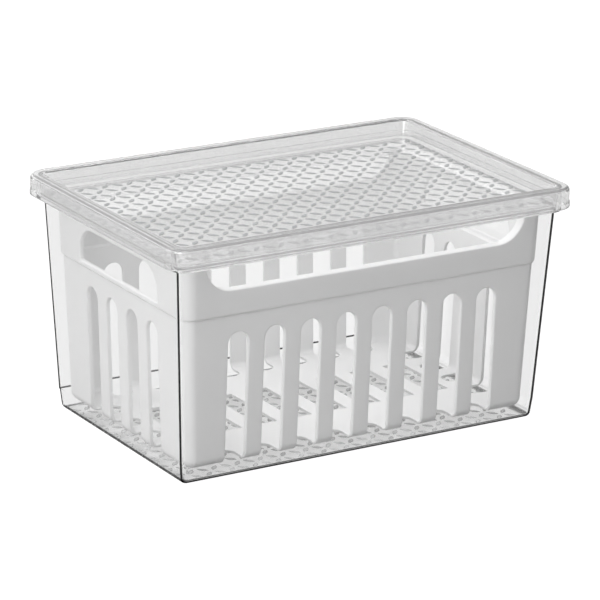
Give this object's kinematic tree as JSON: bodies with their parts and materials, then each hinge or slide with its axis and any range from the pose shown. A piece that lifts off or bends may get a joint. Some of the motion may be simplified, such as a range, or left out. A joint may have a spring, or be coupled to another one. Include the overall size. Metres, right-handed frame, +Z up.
{
  "type": "fridge organizer bin",
  "caption": "Clear tapered food storage bin with a slotted drain basket on short feet inside and a drop-on lid with a recessed stacking top.",
  "frame": {"origin": "centre of the bin's footprint, on the surface it stands on", "axes": "+Z up, +X along the length, +Y across the width"},
  "size_m": [0.3, 0.205, 0.1609],
  "materials": {
    "clear_plastic": "crystal clear moulded plastic",
    "grey_plastic": "satin light grey moulded plastic",
    "frosted_plastic": "milky translucent moulded plastic, smooth"
  },
  "bodies": {
    "bin": {"bin": "clear_plastic"},
    "basket": {"basket": "grey_plastic"},
    "lid": {"lid": "frosted_plastic"}
  },
  "joints": [
    {"name": "basket_lift", "type": "slide", "parent": "bin", "child": "basket", "axis": [0, 0, 1], "range_m": [0, 0.16]},
    {"name": "lid_lift", "type": "slide", "parent": "basket", "child": "lid", "axis": [0, 0, 1], "range_m": [0, 0.12]}
  ]
}
